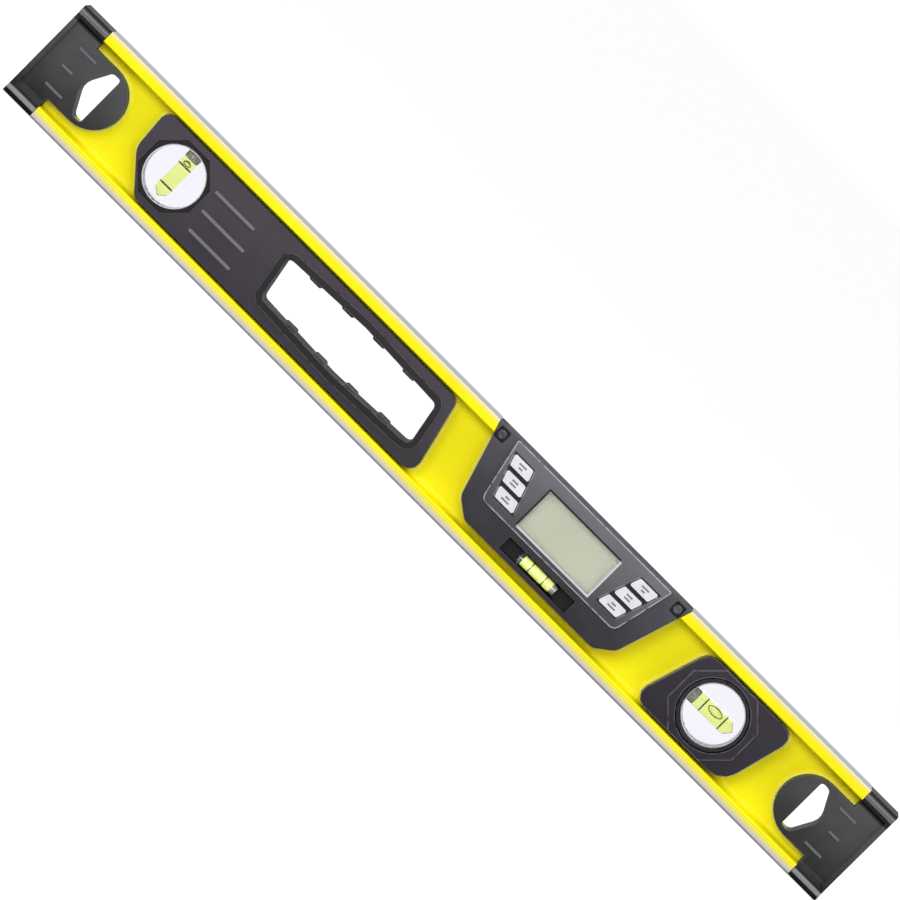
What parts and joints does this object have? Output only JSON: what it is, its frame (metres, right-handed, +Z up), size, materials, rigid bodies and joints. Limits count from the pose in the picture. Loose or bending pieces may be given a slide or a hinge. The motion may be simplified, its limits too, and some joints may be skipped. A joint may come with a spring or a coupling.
{
  "type": "digital spirit level",
  "caption": "Digital I-beam spirit level with a yellow aluminium frame, display module, push keys, plumb vial, turning angle vial and hand hole.",
  "frame": {"origin": "centre of the bottom working face", "axes": "+X along the level from the handle end to the dial end, display faces -Y, +Z up"},
  "size_m": [0.61, 0.0286, 0.0635],
  "materials": {
    "yellow_coat": "powder coat, milled bare on the working faces",
    "cap_plastic": "moulded, fine texture",
    "insert_plastic": "moulded, fine texture",
    "module_plastic": "moulded, fine texture",
    "panel_paint": "satin paint",
    "grip_rubber": "matt",
    "clear_acrylic": "polished",
    "vial_liquid": "tinted liquid",
    "vial_plug": "moulded",
    "ring_ink": "matt",
    "display_glass": "polarising film on glass",
    "key_white": "satin",
    "silicone": "translucent",
    "board": "solder mask",
    "black_part": "moulded",
    "steel": "zinc plated",
    "cell_sleeve": "printed sleeve"
  },
  "bodies": {
    "level_body": {"frame": "yellow_coat", "end_cap_left": "cap_plastic", "end_cap_right": "cap_plastic", "handle_front_shell": "insert_plastic", "handle_rear_shell": "insert_plastic", "handle_grip_liner": "grip_rubber", "angle_front_shell": "insert_plastic", "angle_rear_shell": "insert_plastic", "module_front_housing": "module_plastic", "module_rear_housing": "module_plastic", "module_gasket": "grip_rubber", "display_panel": "panel_paint", "display_lens": "clear_acrylic", "display_lcd": "display_glass", "keypad_left": "silicone", "keypad_right": "silicone", "main_board": "board", "buzzer": "black_part", "tilt_sensor": "steel", "battery_lower": "cell_sleeve", "battery_upper": "cell_sleeve", "battery_spring_lower": "steel", "battery_spring_upper": "steel", "battery_door_pin": "steel", "plumb_vial_block": "clear_acrylic", "plumb_vial_liquid": "vial_liquid", "plumb_vial_plug": "vial_plug", "plumb_vial_ring_lower": "ring_ink", "plumb_vial_ring_upper": "ring_ink", "centre_vial_tube": "clear_acrylic", "centre_vial_liquid": "vial_liquid", "centre_vial_plug": "vial_plug", "centre_vial_ring_left": "ring_ink", "centre_vial_ring_right": "ring_ink", "handle_screw_1": "steel", "handle_screw_2": "steel", "handle_screw_3": "steel", "angle_screw_1": "steel", "angle_screw_2": "steel", "module_screw_top_left": "steel", "module_screw_top_right": "steel", "module_screw_rear_1": "steel", "module_screw_rear_2": "steel"},
    "angle_dial": {"angle_dial_front": "cap_plastic", "angle_dial_rear": "cap_plastic", "dial_friction_washer": "grip_rubber", "angle_vial_block": "clear_acrylic", "angle_vial_liquid": "vial_liquid", "angle_vial_plug": "vial_plug", "angle_vial_ring_lower": "ring_ink", "angle_vial_ring_upper": "ring_ink"},
    "battery_door": {"battery_door": "module_plastic"},
    "key_left_top": {"button_left_top": "key_white"},
    "key_left_middle": {"button_left_middle": "key_white"},
    "key_left_bottom": {"button_left_bottom": "key_white"},
    "key_right_top": {"button_right_top": "key_white"},
    "key_right_middle": {"button_right_middle": "key_white"},
    "key_right_bottom": {"button_right_bottom": "key_white"}
  },
  "joints": [
    {"name": "dial_turn", "type": "hinge", "parent": "level_body", "child": "angle_dial", "pos_m": [0.1971, 0, 0.03175], "axis": [0, 1, 0], "continuous": true},
    {"name": "battery_door_swing", "type": "hinge", "parent": "level_body", "child": "battery_door", "pos_m": [0.0783, 0.0124, 0.029], "axis": [-1, 0, 0], "range_deg": [0, 110]},
    {"name": "press_left_top", "type": "slide", "parent": "level_body", "child": "key_left_top", "axis": [0, 1, 0], "range_m": [0, 0.0005], "stiffness_N_per_m": 1500},
    {"name": "press_left_middle", "type": "slide", "parent": "level_body", "child": "key_left_middle", "axis": [0, 1, 0], "range_m": [0, 0.0005], "stiffness_N_per_m": 1500},
    {"name": "press_left_bottom", "type": "slide", "parent": "level_body", "child": "key_left_bottom", "axis": [0, 1, 0], "range_m": [0, 0.0005], "stiffness_N_per_m": 1500},
    {"name": "press_right_top", "type": "slide", "parent": "level_body", "child": "key_right_top", "axis": [0, 1, 0], "range_m": [0, 0.0005], "stiffness_N_per_m": 1500},
    {"name": "press_right_middle", "type": "slide", "parent": "level_body", "child": "key_right_middle", "axis": [0, 1, 0], "range_m": [0, 0.0005], "stiffness_N_per_m": 1500},
    {"name": "press_right_bottom", "type": "slide", "parent": "level_body", "child": "key_right_bottom", "axis": [0, 1, 0], "range_m": [0, 0.0005], "stiffness_N_per_m": 1500}
  ]
}
